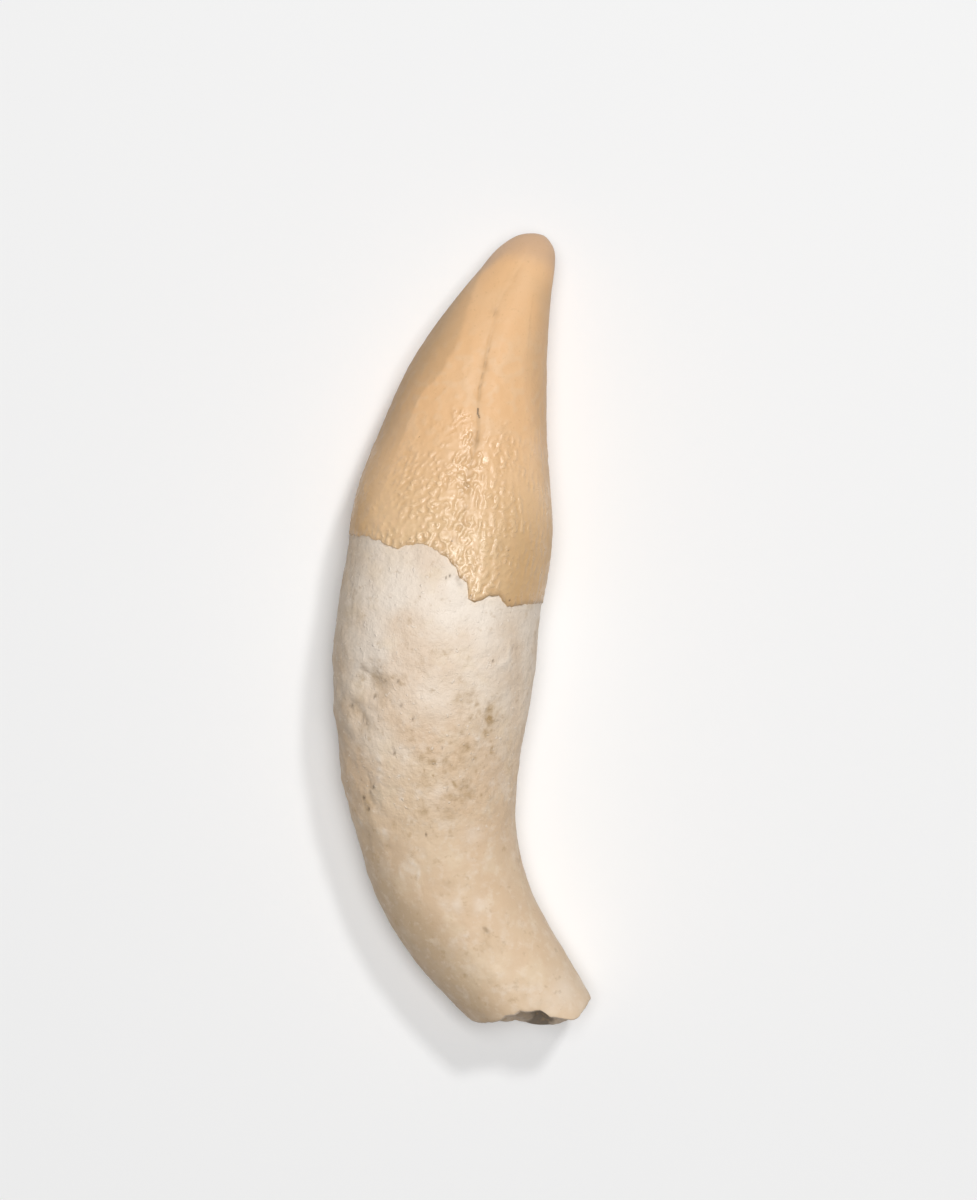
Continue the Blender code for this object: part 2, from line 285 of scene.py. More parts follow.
class Solid:
    """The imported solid, measured with rays."""

    def __init__(self):
        mesh = bpy.data.objects[SOLID].data
        self.corners = [corner.co / MM for corner in mesh.vertices]
        faces = [tuple(face.vertices) for face in mesh.polygons]
        self.tree = BVHTree.FromPolygons(self.corners, faces)
        self.slices = self.measure_slices()

    def hit(self, start, end):
        """Where the way from start to end first meets the solid."""
        way = np.subtract(end, start)
        place = self.tree.ray_cast(start, way, float(np.linalg.norm(way)))[0]
        if place is None:
            raise RuntimeError(f"There is no solid between {start} and {end}")
        return np.array(place)

    def measure_slices(self):
        """Rows of (distance below the tip, middle x, middle z, half width, half height)."""
        tip_x, _, tip_z = max(self.corners, key=lambda corner: corner.y)
        x, z = tip_x, tip_z
        rows = []
        for below in (*TIP_SLICES, *np.linspace(DOME, LAST_SLICE, SLICES)):
            y = TIP_Y - below
            for _ in range(CENTRING):
                left = self.hit((LOW[0] - 1, y, z), (x, y, z))[0]
                right = self.hit((HIGH[0] + 1, y, z), (x, y, z))[0]
                x = (left + right) / 2
                bottom = self.hit((x, y, LOW[2] - 1), (x, y, z))[2]
                top = self.hit((x, y, HIGH[2] + 1), (x, y, z))[2]
                z = (bottom + top) / 2
            rows.append((below, x, z, (right - left) / 2, (top - bottom) / 2))
        narrow = (rows[0][3] / 10, rows[0][4] / 10)  # the tip itself has next to no width
        rows.insert(0, (0.0, tip_x, tip_z, *narrow))
        last, before = np.array(rows[-1]), np.array(rows[-4])
        rows.append(tuple(last + (last - before) * (SLICES_END - last[0]) / (last[0] - before[0])))
        return np.array(rows)

    def slice_at(self, below):
        """(middle x, middle z, half width, half height) of the slice this far below the tip."""
        columns = self.slices.T
        return tuple(np.interp(below, columns[0], column) for column in columns[1:])

    def skin_point(self, below, turn):
        """The point of the skin this far below the tip, at this turn in radians."""
        x, z, half_width, half_height = self.slice_at(below)
        y = TIP_Y - below
        aside = half_width * math.cos(turn)
        above = half_height * math.sin(turn)
        reach = CLEAR / math.hypot(aside, above)
        return self.hit((x + reach * aside, y, z + reach * above), (x, y, z))

    def face_point(self, x, z):
        """The point of the broken face with this x and z."""
        return self.hit((x, LOW[1] - 1, z), (x, 0.0, z))

    def rim_below(self, turns):
        """How far below the tip the sharp edge of the break is, at these turns in radians."""
        mesh = bmesh.new()
        mesh.from_mesh(bpy.data.objects[SOLID].data)
        bmesh.ops.remove_doubles(mesh, verts=mesh.verts, dist=WELD * MM)
        lowest = (TIP_Y - RIM_START) * MM
        sharp = [edge for edge in mesh.edges if edge.calc_face_angle(0) > RIM_ANGLE]
        corners = {corner for edge in sharp for corner in edge.verts if corner.co.y < lowest}
        rim = []
        for corner in corners:
            x, y, z = corner.co / MM
            middle_x, middle_z, half_width, half_height = self.slice_at(TIP_Y - y)
            aside = (x - middle_x) / half_width
            above = (z - middle_z) / half_height
            if math.hypot(aside, above) > OUTER_SHARE:
                rim.append((math.atan2(above, aside), TIP_Y - y))
        mesh.free()
        return np.interp(turns, *np.array(sorted(rim)).T, period=2 * PI)


class Skin:
    """The even grid of the skin, and the distance below the tip and the turn of its points."""

    def __init__(self, solid):
        even = np.arange(COLUMNS) * 2 * PI / COLUMNS
        turn = even + CROWDING * np.cos(even)
        edge = np.interp(np.degrees(turn), *np.array(ENAMEL_EDGE).T, period=360)
        rim = solid.rim_below(turn) - RIM_GAP
        below = np.array(self.rows_between(edge, rim))
        points = [[solid.skin_point(b, t) for b, t in zip(row, turn)] for row in below]
        circle = np.stack([np.cos(turn), np.sin(turn), 0 * turn], axis=1) * EDGE_RADIUS
        chips = np.interp(np.degrees(turn), *np.array(BREAK_CHIPS).T, period=360)
        chips += NOTCHES * lumps(circle, NOTCH_SIZE, 3, 5.0)
        self.edge = edge + SCALLOPS * lumps(circle, SCALLOP_SIZE, 3, 2.0)
        below = np.array(self.rows_between(self.edge, rim + chips))
        points = self.moved_along(self.evened(np.array(points)), below)
        self.edge_row = DOME_ROWS + UPPER_ROWS + LOWER_ROWS - 1
        points, below = self.with_lip(points, below)
        self.rim_row = len(points) - 1
        face = self.broken_face(solid, points[-1], chips)
        self.points = np.concatenate([points, face])
        self.below = np.concatenate([below, np.broadcast_to(below[-1], face.shape[:2])])
        self.turn = np.broadcast_to(np.degrees(turn) % 360, self.below.shape)
        self.normals = self.outward(self.points)
        self.under_edge = self.below - self.edge
        self.inward = np.zeros(self.below.shape)
        self.inward[self.rim_row + 1 :] = 1 - FACE_SHARES[:, None]

    @staticmethod
    def rows_between(edge, rim):
        """The distances below the tip of all rows, for those of the enamel's edge and the rim."""
        mean = edge.mean()
        arc = np.linspace(0, PI / 2, DOME_ROWS + 1)[1:]
        levels = [
            *DOME * (1 - np.cos(arc)),
            *np.linspace(DOME, LEVEL_CROWN, UPPER_ROWS + 1)[1:],
            *np.linspace(LEVEL_CROWN, mean, LOWER_ROWS + 1)[1:],
        ]
        lean = [max(0.0, (level - LEVEL_CROWN) / (mean - LEVEL_CROWN)) for level in levels]
        crown = [level + share * (edge - mean) for level, share in zip(levels, lean)]
        shares = np.linspace(0, 1, ROOT_ROWS + 1)[1:]
        return crown + [edge + share * (rim - edge) for share in shares]

    @staticmethod
    def moved_along(points, below):
        """The grid with its rows moved along the even surface to these depths."""
        moved = points.copy()
        first = int(np.argmax(below[:, 0] > LEVEL_CROWN))
        for column in range(COLUMNS):
            line = points[:, column]
            depth = TIP_Y - line[:, 1]
            past = (below[-1, column] - depth[-1]) / (depth[-1] - depth[-2])
            end = line[-1] + max(past, 0.0) * (line[-1] - line[-2])
            depth = np.append(depth, TIP_Y - end[1] + 1e-6)
            line = np.append(line, [end], axis=0)
            for axis in range(3):
                target = below[first:, column]
                moved[first:, column, axis] = np.interp(target, depth, line[:, axis])
        return moved

    def with_lip(self, points, below):
        """The grid with the rows just under the enamel's edge added."""
        row = self.edge_row
        gap = below[row + 1] - below[row]
        shares = [np.minimum(step / gap, 0.9)[:, None] for step in LIP_STEPS]
        lip = [points[row] * (1 - share) + points[row + 1] * share for share in shares]
        lip_below = [below[row] + share[:, 0] * gap for share in shares]
        return (
            np.concatenate([points[: row + 1], lip, points[row + 1 :]]),
            np.concatenate([below[: row + 1], lip_below, below[row + 1 :]]),
        )

    @staticmethod
    def evened(points):
        """The grid without the solid's facets. Its last row keeps its place."""
        for count in range(SMOOTH_ROWS):
            over_tip = np.roll(points[:1], COLUMNS // 2, axis=1)
            padded = np.concatenate([over_tip, points])
            even = (padded[:-2] + 2 * padded[1:-1] + padded[2:]) / 4
            first = 0 if count < SMOOTH_TIP_ROWS else DOME_ROWS + UPPER_ROWS
            points[first:-1] = even[first:]
        for _ in range(SMOOTH_COLUMNS):
            after, before = around(points)
            points = (after + 2 * points + before) / 4
        return points

    def broken_face(self, solid, rim, chips):
        """The rows of the broken face, from the rim to the middle."""
        middle = (rim.min(axis=0) + rim.max(axis=0)) / 2
        whole = rim.copy()
        whole[:, 0] -= 0.5 * chips * (rim[:, 0] > middle[0])
        rows = []
        for share in FACE_SHARES:
            row = middle + min(share, WHOLE_SHARE) * (whole - middle)
            heights = np.array([solid.face_point(x, z)[1] for x, _, z in row])
            row = middle + share * (rim - middle)
            row[:, 1] = heights + (rim[:, 1] - heights) * ease(share, RIM_SHARE, 1.0)
            row[:, 1] -= chips * ease(share, CHIP_SHARE, 1.0) * fade(share, RIM_SHARE, 1.0)
            rows.append(row)
        return np.array(rows)

    @staticmethod
    def outward(points):
        """Unit normals of the grid, pointing out of the tooth."""
        after, before = around(points)
        normals = np.cross(after - before, np.gradient(points, axis=0))
        return normals / np.linalg.norm(normals, axis=2, keepdims=True)

    def place(self, turn, below):
        """The point of the even skin at this turn in degrees, this far below the tip."""
        start = int(np.argmin(self.turn[0]))
        order = (np.arange(COLUMNS + 1) + start) % COLUMNS
        turns = self.turn[0][order]
        turns[-1] += 360
        column = np.interp(turn % 360, turns, np.arange(COLUMNS + 1))
        first, share = int(column), column % 1
        ends = []
        for one in (order[first], order[min(first + 1, COLUMNS)]):
            rows = self.below[: self.rim_row + 1, one]
            points = self.points[: self.rim_row + 1, one]
            ends.append([np.interp(below, rows, values) for values in points.T])
        return np.array(ends[0]) * (1 - share) + np.array(ends[1]) * share

    def from_place(self, turn, below):
        """Each point's distance from a place on the skin."""
        return np.linalg.norm(self.points - self.place(turn, below), axis=2)

    def from_line(self, places):
        """Each point's distance from a line, and how far along the line it is nearest."""
        corners = [self.place(turn, below) for turn, below in places]
        nearest = np.full(self.below.shape, np.inf)
        along = np.zeros(self.below.shape)
        travelled = 0.0
        for start, end in zip(corners, corners[1:]):
            way = end - start
            length = np.linalg.norm(way)
            share = np.clip((self.points - start) @ way / length**2, 0, 1)
            gap = np.linalg.norm(self.points - start - share[..., None] * way, axis=2)
            along = np.where(gap < nearest, travelled + share * length, along)
            nearest = np.minimum(nearest, gap)
            travelled += length
        return nearest, along


class Wrinkles:
    """The crown's wrinkles: grown from noise on a flat sheet wrapped round the crown.

    The sheet's columns go round the tooth and its rows go down. The noise is combed along the
    way that the wrinkles run, and then sharpened, again and again, until it is one maze of ridges.
    """

    RADIUS = 5.5  # of the sheet, as it is wrapped round the crown
    COLUMNS = 494
    ROWS = 352
    CELL = 2 * PI * RADIUS / COLUMNS  # the size of the sheet's squares
    SHORT_REACH = 2  # squares over which the noise is combed, each way
    LONG_REACH = 8  # and on the right of the crease, where the wrinkles are long
    ROUNDS = 2
    FINE, COARSE = 3, 11  # passes of blurring, whose difference sets how far apart the ridges are
    BEADS = 0.8  # how much of the height is in beads along the ridges
    SEEDS = (11, 12)  # of the ridges and of the beads
    FINE_BEADS, COARSE_BEADS = 2, 6  # the same passes for the beads

    def __init__(self):
        rows, turns = np.mgrid[0 : self.ROWS, 0 : self.COLUMNS]
        self.turn = turns * 360 / self.COLUMNS
        self.below = rows * self.CELL
        radians = np.radians(self.turn)
        self.points = np.stack(
            [self.RADIUS * np.cos(radians), self.RADIUS * np.sin(radians), self.below], axis=2
        )
        self.sheet = self.grow()

    def ways(self):
        """The way that the wrinkles run at each square, as steps (along the columns, down)."""
        left = (self.turn - CREASE_TURN) * PI / 180 * self.RADIUS  # distance left of the crease
        fan = ease(left, 0.0, 0.5) * fade(left, 5.0, 9.5)
        slant = 1.5 * fan * fade(self.below, 14.5, 19.5)
        curl = 0.45 + 1.5 * fan * fade(self.below, 16.0, 19.5)
        curl += 0.9 * fade(self.below, 11.0, 15.5)
        angle = np.arctan(slant) + 1.3 * curl * lumps(self.points, 0.55, 2, 3.7)
        return np.sin(angle), np.cos(angle)

    def combed(self, sheet, ways, long):
        """The sheet with each square averaged along the way that the wrinkles run."""
        rows, columns = np.indices(sheet.shape)
        total = sheet.copy()
        weight = np.ones(sheet.shape)
        for sign in (1, -1):
            row, column = rows.astype(float), columns.astype(float)
            at, across = rows, columns
            for step in range(self.LONG_REACH):
                column = column + sign * ways[0][at, across]
                row = row + sign * ways[1][at, across]
                at = np.rint(row).astype(int).clip(0, self.ROWS - 1)
                across = np.rint(column).astype(int) % self.COLUMNS
                share = 1.0 if step < self.SHORT_REACH else long
                total += share * sheet[at, across]
                weight += share
        return total / weight

    def grow(self):
        """The grown sheet, from about -1 in the valleys to 1 on the ridges."""
        sources = [np.random.default_rng(seed) for seed in self.SEEDS]
        sheet, beads = (source.standard_normal(self.turn.shape) for source in sources)
        ways = self.ways()
        right = np.minimum(self.turn, 360 - self.turn)
        long = 0.6 * fade(self.turn, 76, 84) * ease(self.below, 12.5, 16.5)
        long = np.where(self.turn > 200, 0.7 * ease(right, 20, 60), long)
        for _ in range(self.ROUNDS):
            sheet = self.combed(np.tanh(1.5 * sheet / sheet.std()), ways, long)
            sheet = blurred(sheet, self.FINE) - blurred(sheet, self.COARSE)
        beads = blurred(beads, self.FINE_BEADS) - blurred(beads, self.COARSE_BEADS)
        both = np.tanh(0.9 * sheet / sheet.std()) + self.BEADS * beads / beads.std()
        return np.tanh(0.8 * both)

    def height(self, skin):
        """The sheet's value at each point of the skin."""
        row = (skin.below / self.CELL).clip(0, self.ROWS - 1.001)
        column = skin.turn / 360 * self.COLUMNS
        top, left = row.astype(int), column.astype(int)
        down, aside = row - top, column - left
        right = (left + 1) % self.COLUMNS
        left = left % self.COLUMNS
        upper = self.sheet[top, left] * (1 - aside) + self.sheet[top, right] * aside
        lower = self.sheet[top + 1, left] * (1 - aside) + self.sheet[top + 1, right] * aside
        return upper * (1 - down) + lower * down


class Relief:
    """How far each point of the skin stands out, and the masks that the materials are mixed by.

    Heights are in millimetres. The two numbers given to ease and fade are where a feature starts
    to grow or to go, and where it has, in degrees of turn or in millimetres.
    """

    SPOT_FALL = 1.6  # how fast a spot fades out
    CREASE_END = (14.5, 16.3)  # where the crease fades out, as distances along it
    CREASE_WIDTH = 0.12
    CREASE_HOLLOW = (0.4, 0.014)  # width and depth of the hollow that the crease runs in
    DASH = (0.05, 0.02)  # width and depth
    SOFT_BUMPS = 0.035  # height of the smooth crown's bumps
    SWELLING = 0.05  # of the crown as a whole
    FLANK_DEPTH = 0.05
    CAP_DEPTH = 0.01
    PORE_DEPTH = 0.09
    CRACK = (0.11, 0.08)  # width and depth
    FLAKE_HEIGHT = 0.018
    RING = (0.12, 0.03)  # width and height
    CHIP = (0.16, 0.09)  # width and height
    WORN_DEPTH = 0.03
    UNDER_LIP = 1.2  # how far below the enamel's edge the root comes back to its own height
    RIM = (0.8, 0.06)  # width and height of the lumps along the edge of the break

    def __init__(self, skin, settings):
        self.skin = skin
        self.settings = settings
        self.height = np.zeros(skin.below.shape)
        self.masks = {name: np.zeros(skin.below.shape) for name in ("dirt", "stain", "pale")}
        self.in_crown = fade(skin.under_edge, 0.0, 0.005)
        self.in_root = 1 - self.in_crown
        self.lip_height = settings.lip_height / MM
        self.crease, self.along_crease = skin.from_line(CREASE)

    def lumps(self, size, octaves, seed):
        """Smooth noise of about -1 to 1 on the skin, with lumps of this size."""
        return lumps(self.skin.points, size, octaves, seed)

    def spot(self, turn, below, radius, ragged):
        """1 at a place and 0 beyond its radius, with a ragged outline."""
        distance = self.skin.from_place(turn, below)
        near = distance < 3 * radius
        distance[near] *= 1 + ragged * lumps(self.skin.points[near], radius, 2, below)
        return np.exp(-((distance / radius) ** 2) * self.SPOT_FALL)

    def line(self, places, width):
        """1 on a line and 0 well away from it."""
        return bell(self.skin.from_line(places)[0], width)

    def mark(self, name, amount):
        """Raises a mask to this amount where it is lower."""
        self.masks[name] = np.maximum(self.masks[name], amount)

    def beyond(self, places, opposite):
        """How far each point is past a line down the crown, towards greater turns.

        Opposite is a turn well away from the line, where the counting of turns starts.
        """
        gap, _ = self.skin.from_line(places)
        turns, depths = np.array(places).T
        line = np.interp(self.skin.below, depths, turns)
        turn = (self.skin.turn - opposite) % 360
        return np.where(turn > (line - opposite) % 360, gap, -gap)

    def wrinkles(self):
        """Wrinkles on the lower crown, weaker underneath, on the right and beside the crease."""
        skin = self.skin
        left = skin.turn - CREASE_TURN
        on_top = fade(from_turn(skin.turn, TOP_TURN), 60, 160)
        strength = ease(skin.below + 2.6 * self.lumps(1.2, 2, 1), 10.8, 15.8)
        strength *= 0.35 + 0.65 * on_top
        strength *= 1 - 0.65 * ease(left, 15, 60) * fade(skin.below, 18, 20.5)
        strength *= 1 - 0.45 * fade(from_turn(skin.turn, RIGHT_TURN), 15, 40)
        strength *= 0.75 + 0.8 * self.lumps(1.0, 1, 9)
        beside_crease = bell(self.crease, 0.22)
        strength *= 1 - 0.65 * beside_crease * fade(self.along_crease, *self.CREASE_END)
        strength = strength.clip(0, 1.2) * self.in_crown
        ridges = Wrinkles().height(skin)
        self.height += self.settings.wrinkle_height / MM * strength * ridges
        self.masks["ridges"] = 0.5 + 0.5 * ridges * strength.clip(0, 1)
        self.masks["wrinkled"] = strength.clip(0, 1)
        # Painted shade on the crown's lower right and lower left sides, in the valleys' brown
        brown = ease(skin.under_edge, -8.5, -2.5) * fade(from_turn(skin.turn, RIGHT_TURN), 15, 50)
        low_left = ease(skin.under_edge, -6.0, -1.5) * ease(skin.turn, 130, 158)
        low_left = low_left * fade(skin.turn, 210, 240)
        self.masks["low"] = (brown + 1.25 * low_left) * self.in_crown
        self.soft_bumps(strength)

    def soft_bumps(self, strength):
        """Low bumps where there are no wrinkles, and a slight swelling of the whole crown."""
        below = self.skin.below
        soft = ease(below, 5.0, 8.0) * (1 - 0.6 * strength) * self.in_crown
        bumps = self.lumps(0.5, 1, 5)
        self.height += self.SOFT_BUMPS * soft * bumps
        self.masks["soft"] = soft * ease(bumps, 0.0, 0.35)
        swelling = self.SWELLING * ease(below, 2.0, 6.0) * self.lumps(3.5, 1, 2)
        self.height += swelling * self.in_crown

    def crease_down(self):
        """The crease down the top of the crown, its smudges, and the dark dashes in it."""
        along = self.along_crease
        depth = ease(along, 0.0, 2.0) * fade(along, *self.CREASE_END)
        depth *= (0.8 + 0.9 * self.lumps(1.1, 1, 8)).clip(0.25, 1.2)
        depth *= 1 + 0.5 * ease(along, 11.5, 13.5)
        wander = self.lumps(0.5, 2, 4)
        groove = bell(self.crease * (1 + 0.3 * wander), self.CREASE_WIDTH) * depth * self.in_crown
        width, hollow_depth = self.CREASE_HOLLOW
        hollow = bell(self.crease, width) * ease(along, 0.0, 2.0) * self.in_crown
        self.height -= self.settings.crease_depth / MM * groove + hollow_depth * hollow
        brown = 0.5 + 0.5 * ease(along, 6.0, 9.0)
        self.masks["crease"] = np.maximum(groove * brown, 0.25 * hollow).clip(0, 1.2)
        for turn, below, radius, share in SMUDGES:
            self.mark("stain", share * self.spot(turn, below, radius, 0.8) * self.in_crown)
        width, dash_depth = self.DASH
        for places in DASHES:
            dash = self.line(places, width) * self.in_crown
            self.height -= dash_depth * dash
            self.mark("stain", 0.8 * dash)
            self.mark("dirt", (1.0 if places is DASHES[0] else 0.3) * dash)

    def flank(self):
        """The flat left flank of the crown: a darker olive tan, deepened with painted shade."""
        below = self.skin.below
        beyond = self.beyond(FLANK_EDGE, 270) + 0.15 * self.lumps(0.9, 2, 19)
        blend = 0.35 - 0.2 * ease(below, 7.0, 10.0)
        flank = 0.4 * ease(beyond / blend, -0.7, 1.0) + 0.6 * ease(beyond, 0.0, 2.2)
        flank *= fade(beyond, 4.0, 6.0) * fade(below, 11.5, 18.5)
        flank *= ease(below, 0.8, 2.5) * self.in_crown
        self.height -= self.FLANK_DEPTH * ease(beyond, -0.3, 1.0) * flank.clip(0, 0.6) / 0.6
        self.masks["flank"] = flank

    def strip(self):
        """The shaded strip down the right side of the crown."""
        below = self.skin.below
        beyond = -self.beyond(SHADED_EDGE, 200) + 0.2 * self.lumps(1.2, 2, 23)
        strip = ease(beyond, -0.6, 1.0) * fade(beyond, 3.5, 6.0)
        strip *= fade(below, 13.0, 21.0) * ease(below, 2.0, 4.5) * self.in_crown
        self.height -= self.FLANK_DEPTH * strip * fade(beyond, 1.5, 3.5)
        # the enamel is painted darker over this strip: painted shade
        self.masks["strip"] = strip

    def cap(self):
        """The worn cap of the tip."""
        edge = np.interp(self.skin.turn, *np.array(CAP_EDGE).T, period=360)
        edge = edge + 0.12 * self.lumps(0.5, 2, 17)
        self.masks["cap"] = ease(edge - self.skin.below, -0.7, 0.75)
        self.height -= self.CAP_DEPTH * self.masks["cap"]

    def crown(self):
        """The enamel: its wrinkles, crease, flat flank, bumps, pits and scalloped edge."""
        self.wrinkles()
        self.crease_down()
        self.flank()
        self.strip()
        self.cap()
        for turn, below, radius, height in CROWN_BUMPS + CROWN_PITS:
            spot = self.spot(turn, below, radius, 0.3) * self.in_crown
            self.height += height * spot
            if height < 0:
                self.mark("dirt", 0.75 * spot)
        self.edge()

    def edge(self):
        """The raised, scalloped lower edge of the enamel."""
        lip = ease(self.skin.under_edge, -0.4, 0.0) * self.in_crown
        self.masks["lip"] = lip * (0.35 + 0.65 * fade(self.skin.turn, 80, 110))
        scallop = self.lumps(SCALLOP_SIZE, 2, 6)
        self.height += (0.35 + 0.8 * scallop) * 0.6 * self.lip_height * lip

    def root_lumps(self):
        """The root's lumps, grain and flakes, rougher on its left, and its painted side shade."""
        skin = self.skin
        root = self.in_root
        under = np.exp(-skin.under_edge.clip(0, None) / self.UNDER_LIP)
        self.height -= 0.5 * self.lip_height * under * root
        size = self.settings.lump_height / MM * root
        left = ease(skin.turn, 95, 150) * fade(skin.turn, 200, 250)
        rough = 0.45 + 0.75 * left * ease(skin.below, 23, 27) * fade(skin.below, 37, 42)
        self.height += size * rough * self.lumps(2.6, 2, 12)
        self.height += 0.55 * size * rough * self.lumps(0.9, 2, 14)
        rough_skin = fade(skin.below, 34, 40)
        self.masks["rough"] = rough_skin * root
        self.height += (0.006 + 0.014 * rough_skin) * root * self.lumps(0.42, 2, 16)
        self.height += self.FLAKE_HEIGHT * root * rough * ease(self.lumps(1.4, 3, 21), 0.02, 0.1)
        # Painted shade: the root is painted darker on its left side, further round lower down, and
        # on its hollow right side
        lower = 14 * ease(skin.below, 34, 41) + 19 * ease(skin.below, 40, 44)
        aside = ease(skin.turn + lower, 122, 160) * fade(skin.turn, 230, 260)
        aside = aside * (0.85 - 0.35 * fade(np.abs(skin.below - 35), 1, 4))
        hollow_side = fade(from_turn(skin.turn, RIGHT_TURN), 12, 42)
        hollow_side *= 0.15 + 0.3 * fade(skin.below, 27, 32)
        self.masks["aside"] = (aside + hollow_side).clip(0, 1) * root

    def root_pits(self):
        """The root's single bumps, dents, pores and cracks."""
        root = self.in_root
        for turn, below, radius, height in ROOT_BUMPS + ROOT_DENTS:
            spot = self.spot(turn, below, radius, 0.25) * root
            self.height += height * spot
            # Small raised bumps are painted pale: small chips, with painted highlights on their
            # tops
            if height > 0 and radius < 0.3:
                self.mark("pale", 0.9 * spot)
        for turn, below, radius in PORES:
            pore = self.spot(turn, below, 0.8 * radius, 0.3) * root
            self.height -= self.PORE_DEPTH * pore
            self.mark("dirt", 0.85 * pore)
        width, depth = self.CRACK
        broken = (0.55 + 0.8 * self.lumps(0.35, 1, 31)).clip(0, 1)
        for places in ROOT_CRACKS:
            crack = self.line(places, width) * broken * root
            self.height -= depth * crack
            self.mark("dirt", 0.45 * crack)

    def root_stains(self):
        """Root stains, painted dent shade, and the pale patches, rings and lip of its chips."""
        root = self.in_root
        for name, spots, ragged in (("stain", STAINS_AND_DENT_SHADE, 1.15), ("pale", PALE_PATCHES_AND_HIGHLIGHTS, 0.4)):
            for turn, below, radius, share in spots:
                self.mark(name, share * self.spot(turn, below, radius, ragged) * root)
        width, height = self.RING
        for turn, below, radius in RINGS:
            ring = bell(self.skin.from_place(turn, below) - radius, width)
            ring *= (0.3 + 1.3 * self.lumps(0.5, 2, below)).clip(0, 1) * root
            self.height += height * ring
            self.mark("pale", 0.8 * ring)
        # The lip of the chip is painted pale: a painted highlight
        width, height = self.CHIP
        lip = self.line(CHIP_LIP, width) * root
        self.height += height * lip
        self.mark("pale", lip)

    def root(self):
        """The root: lumps, pits and stains, and the worn strip near its neck."""
        self.root_lumps()
        self.root_pits()
        self.root_stains()
        gap = self.skin.from_line(WORN_STRIP)[0]
        worn = fade(gap * (1 + 0.5 * self.lumps(0.8, 2, 51)), 0.2, 0.95) * self.in_root
        self.height -= self.WORN_DEPTH * worn
        self.masks["worn"] = worn

    def broken_end(self):
        """The broken face: rough and splintered, with lumps along its rim."""
        skin = self.skin
        rough = self.settings.break_height / MM * ease(skin.inward, 0.0, 0.02)
        rough *= ease(skin.inward, 0.0, 0.2)
        self.height += rough * self.lumps(2.0, 3, 41)
        self.height += 0.45 * rough * self.lumps(0.7, 2, 43)
        to_rim = np.linalg.norm(skin.points - skin.points[skin.rim_row], axis=2)
        width, height = self.RIM
        self.height += height * bell(to_rim, width) * self.lumps(0.7, 2, 45)
        self.masks["inward"] = skin.inward

    def moved(self):
        """The points of the finished surface, with a rounded rim, none of them under the floor."""
        points = self.skin.points + self.height[..., None] * self.skin.normals
        rim = self.skin.rim_row
        for _ in range(RIM_ROUNDING):
            near = points[rim - 3 : rim + 4]
            points[rim - 2 : rim + 3] = (near[:-2] + 2 * near[1:-1] + near[2:]) / 4
        points[..., 2] = points[..., 2].clip(0, None)
        return points


def grid_mesh(name, points):
    """A closed mesh over the grid, with a fan of triangles at each end."""
    rows, columns = points.shape[:2]
    poles = [points[0].mean(axis=0), points[-1].mean(axis=0)]
    corners = np.concatenate([points.reshape(-1, 3), poles]) * MM
    column = np.arange(columns)
    after = (column + 1) % columns
    row = np.arange(rows - 1)[:, None] * columns
    sides = np.stack([row + column, row + after, row + columns + after, row + columns + column], 2)
    tip = rows * columns
    last = (rows - 1) * columns
    faces = sides.reshape(-1, 4).tolist()
    faces += [(tip, int(b), int(a)) for a, b in zip(column, after)]
    faces += [(tip + 1, int(last + a), int(last + b)) for a, b in zip(column, after)]
    mesh = bpy.data.meshes.new(name)
    mesh.from_pydata(corners.tolist(), [], faces)
    mesh.shade_smooth()
    return mesh


def add_map(mesh, points, rim_row):
    """A map of the mesh: the skin unrolled round the tooth, and the broken face beside it."""
    rows, columns = points.shape[:2]
    column = np.arange(columns)
    across = np.stack([column, column + 1, column + 1, column], axis=1) / columns
    row = np.arange(rows - 1)[:, None, None] + np.array([0, 0, 1, 1])
    down = (row + 1) / (rim_row + 1)
    unrolled = np.stack(np.broadcast_arrays(MAP_WIDTH * (1 - across), 1 - down), axis=3)
    middle = points[rim_row].mean(axis=0)
    flat = (points - middle)[..., [0, 2]] * MAP_SCALE + MAP_FACE
    face = flat[row, np.rint(across * columns).astype(int) % columns]
    sides = np.where((np.arange(rows - 1) < rim_row)[:, None, None, None], unrolled, face)
    top = unrolled[0][:, [0, 1, 0]]
    top[:, 0] = np.stack([(top[:, 1, 0] + top[:, 2, 0]) / 2, np.ones(columns)], axis=1)
    end = np.stack([np.broadcast_to(flat[-1].mean(axis=0), (columns, 2))] * 3, axis=1)
    end[:, 1] = flat[-1]
    end[:, 2] = np.roll(flat[-1], -1, axis=0)
    places = np.concatenate([one.reshape(-1, 2) for one in (sides, top, end)])
    layer = mesh.uv_layers.new(name="OFBake")
    layer.data.foreach_set("uv", places.ravel().astype(np.float32))


def add_mask(mesh, name, values):
    """Gives the mesh a number at each of its points, for its materials to be mixed by."""
    poles = [values[0].mean(), values[-1].mean()]
    mask = mesh.attributes.new(name, "FLOAT", "POINT")
    mask.data.foreach_set("value", np.append(values.ravel(), poles).astype(np.float32))


